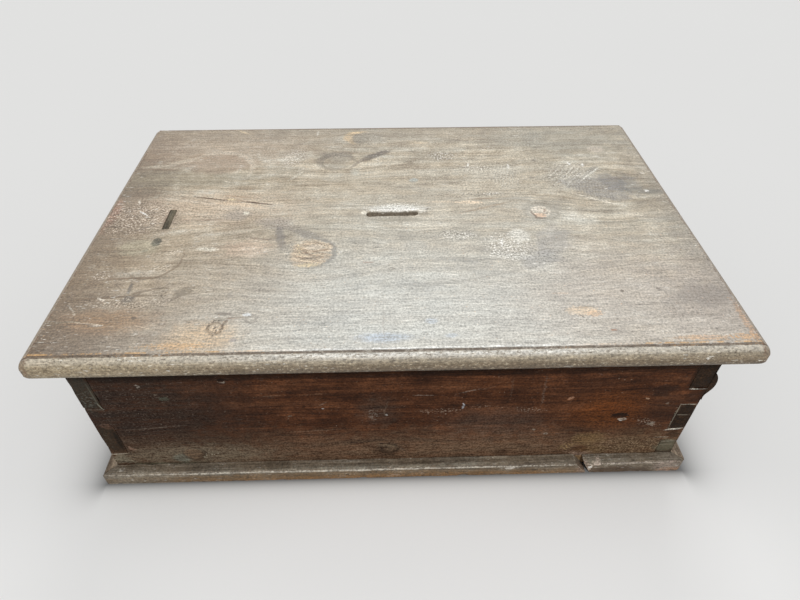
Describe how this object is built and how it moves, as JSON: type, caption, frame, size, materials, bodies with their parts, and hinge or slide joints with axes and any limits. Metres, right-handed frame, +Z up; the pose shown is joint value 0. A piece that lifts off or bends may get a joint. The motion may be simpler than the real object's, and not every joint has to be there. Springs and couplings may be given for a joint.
{
  "type": "candle box",
  "caption": "Low dovetailed wooden box on a moulded plinth, with an overhanging round-edged lid that lifts on iron hinges at the back and has a slot through it.",
  "frame": {"origin": "on the floor under the middle of the lid", "axes": "+X to the box's right along its length, +Y to its back, +Z up"},
  "size_m": [0.7, 0.453, 0.2235],
  "materials": {
    "carcase_wood": "old softwood, dark red-brown stain worn to bare wood at edges",
    "lid_wood": "old softwood, grey-brown, dry and scratched, knots showing",
    "plinth_wood": "old softwood, grey-brown with orange wear low down",
    "bottom_wood": "unfinished softwood, dusty",
    "batten_wood": "unfinished softwood",
    "plug_wood": "dark filler",
    "hinge_iron": "forged iron, dark and lightly rusted",
    "nail_iron": "forged iron, rusted"
  },
  "bodies": {
    "box": {"front_board": "carcase_wood", "back_board": "carcase_wood", "left_end_board": "carcase_wood", "right_end_board": "carcase_wood", "right_end_ogee_strip": "carcase_wood", "bottom_board_front": "bottom_wood", "bottom_board_rear": "bottom_wood", "plinth_front_long": "plinth_wood", "plinth_front_short": "plinth_wood", "plinth_left": "plinth_wood", "plinth_right": "plinth_wood", "bottom_nails": "nail_iron", "plinth_sprigs": "nail_iron", "ogee_sprigs": "nail_iron", "hinge_left_box_leaf": "hinge_iron", "hinge_left_pin": "hinge_iron", "hinge_right_box_leaf": "hinge_iron", "hinge_right_pin": "hinge_iron", "hinge_box_screws": "hinge_iron"},
    "lid": {"lid_board": "lid_wood", "lid_mortise_plug": "plug_wood", "lid_batten_left": "batten_wood", "lid_batten_right": "batten_wood", "lid_batten_nails": "nail_iron", "hinge_left_lid_leaf": "hinge_iron", "hinge_right_lid_leaf": "hinge_iron", "hinge_lid_screws": "hinge_iron"}
  },
  "joints": [
    {"name": "lid_hinge", "type": "hinge", "parent": "box", "child": "lid", "pos_m": [0, 0.213, 0.2005], "axis": [-1, 0, 0], "range_deg": [0, 108]}
  ]
}
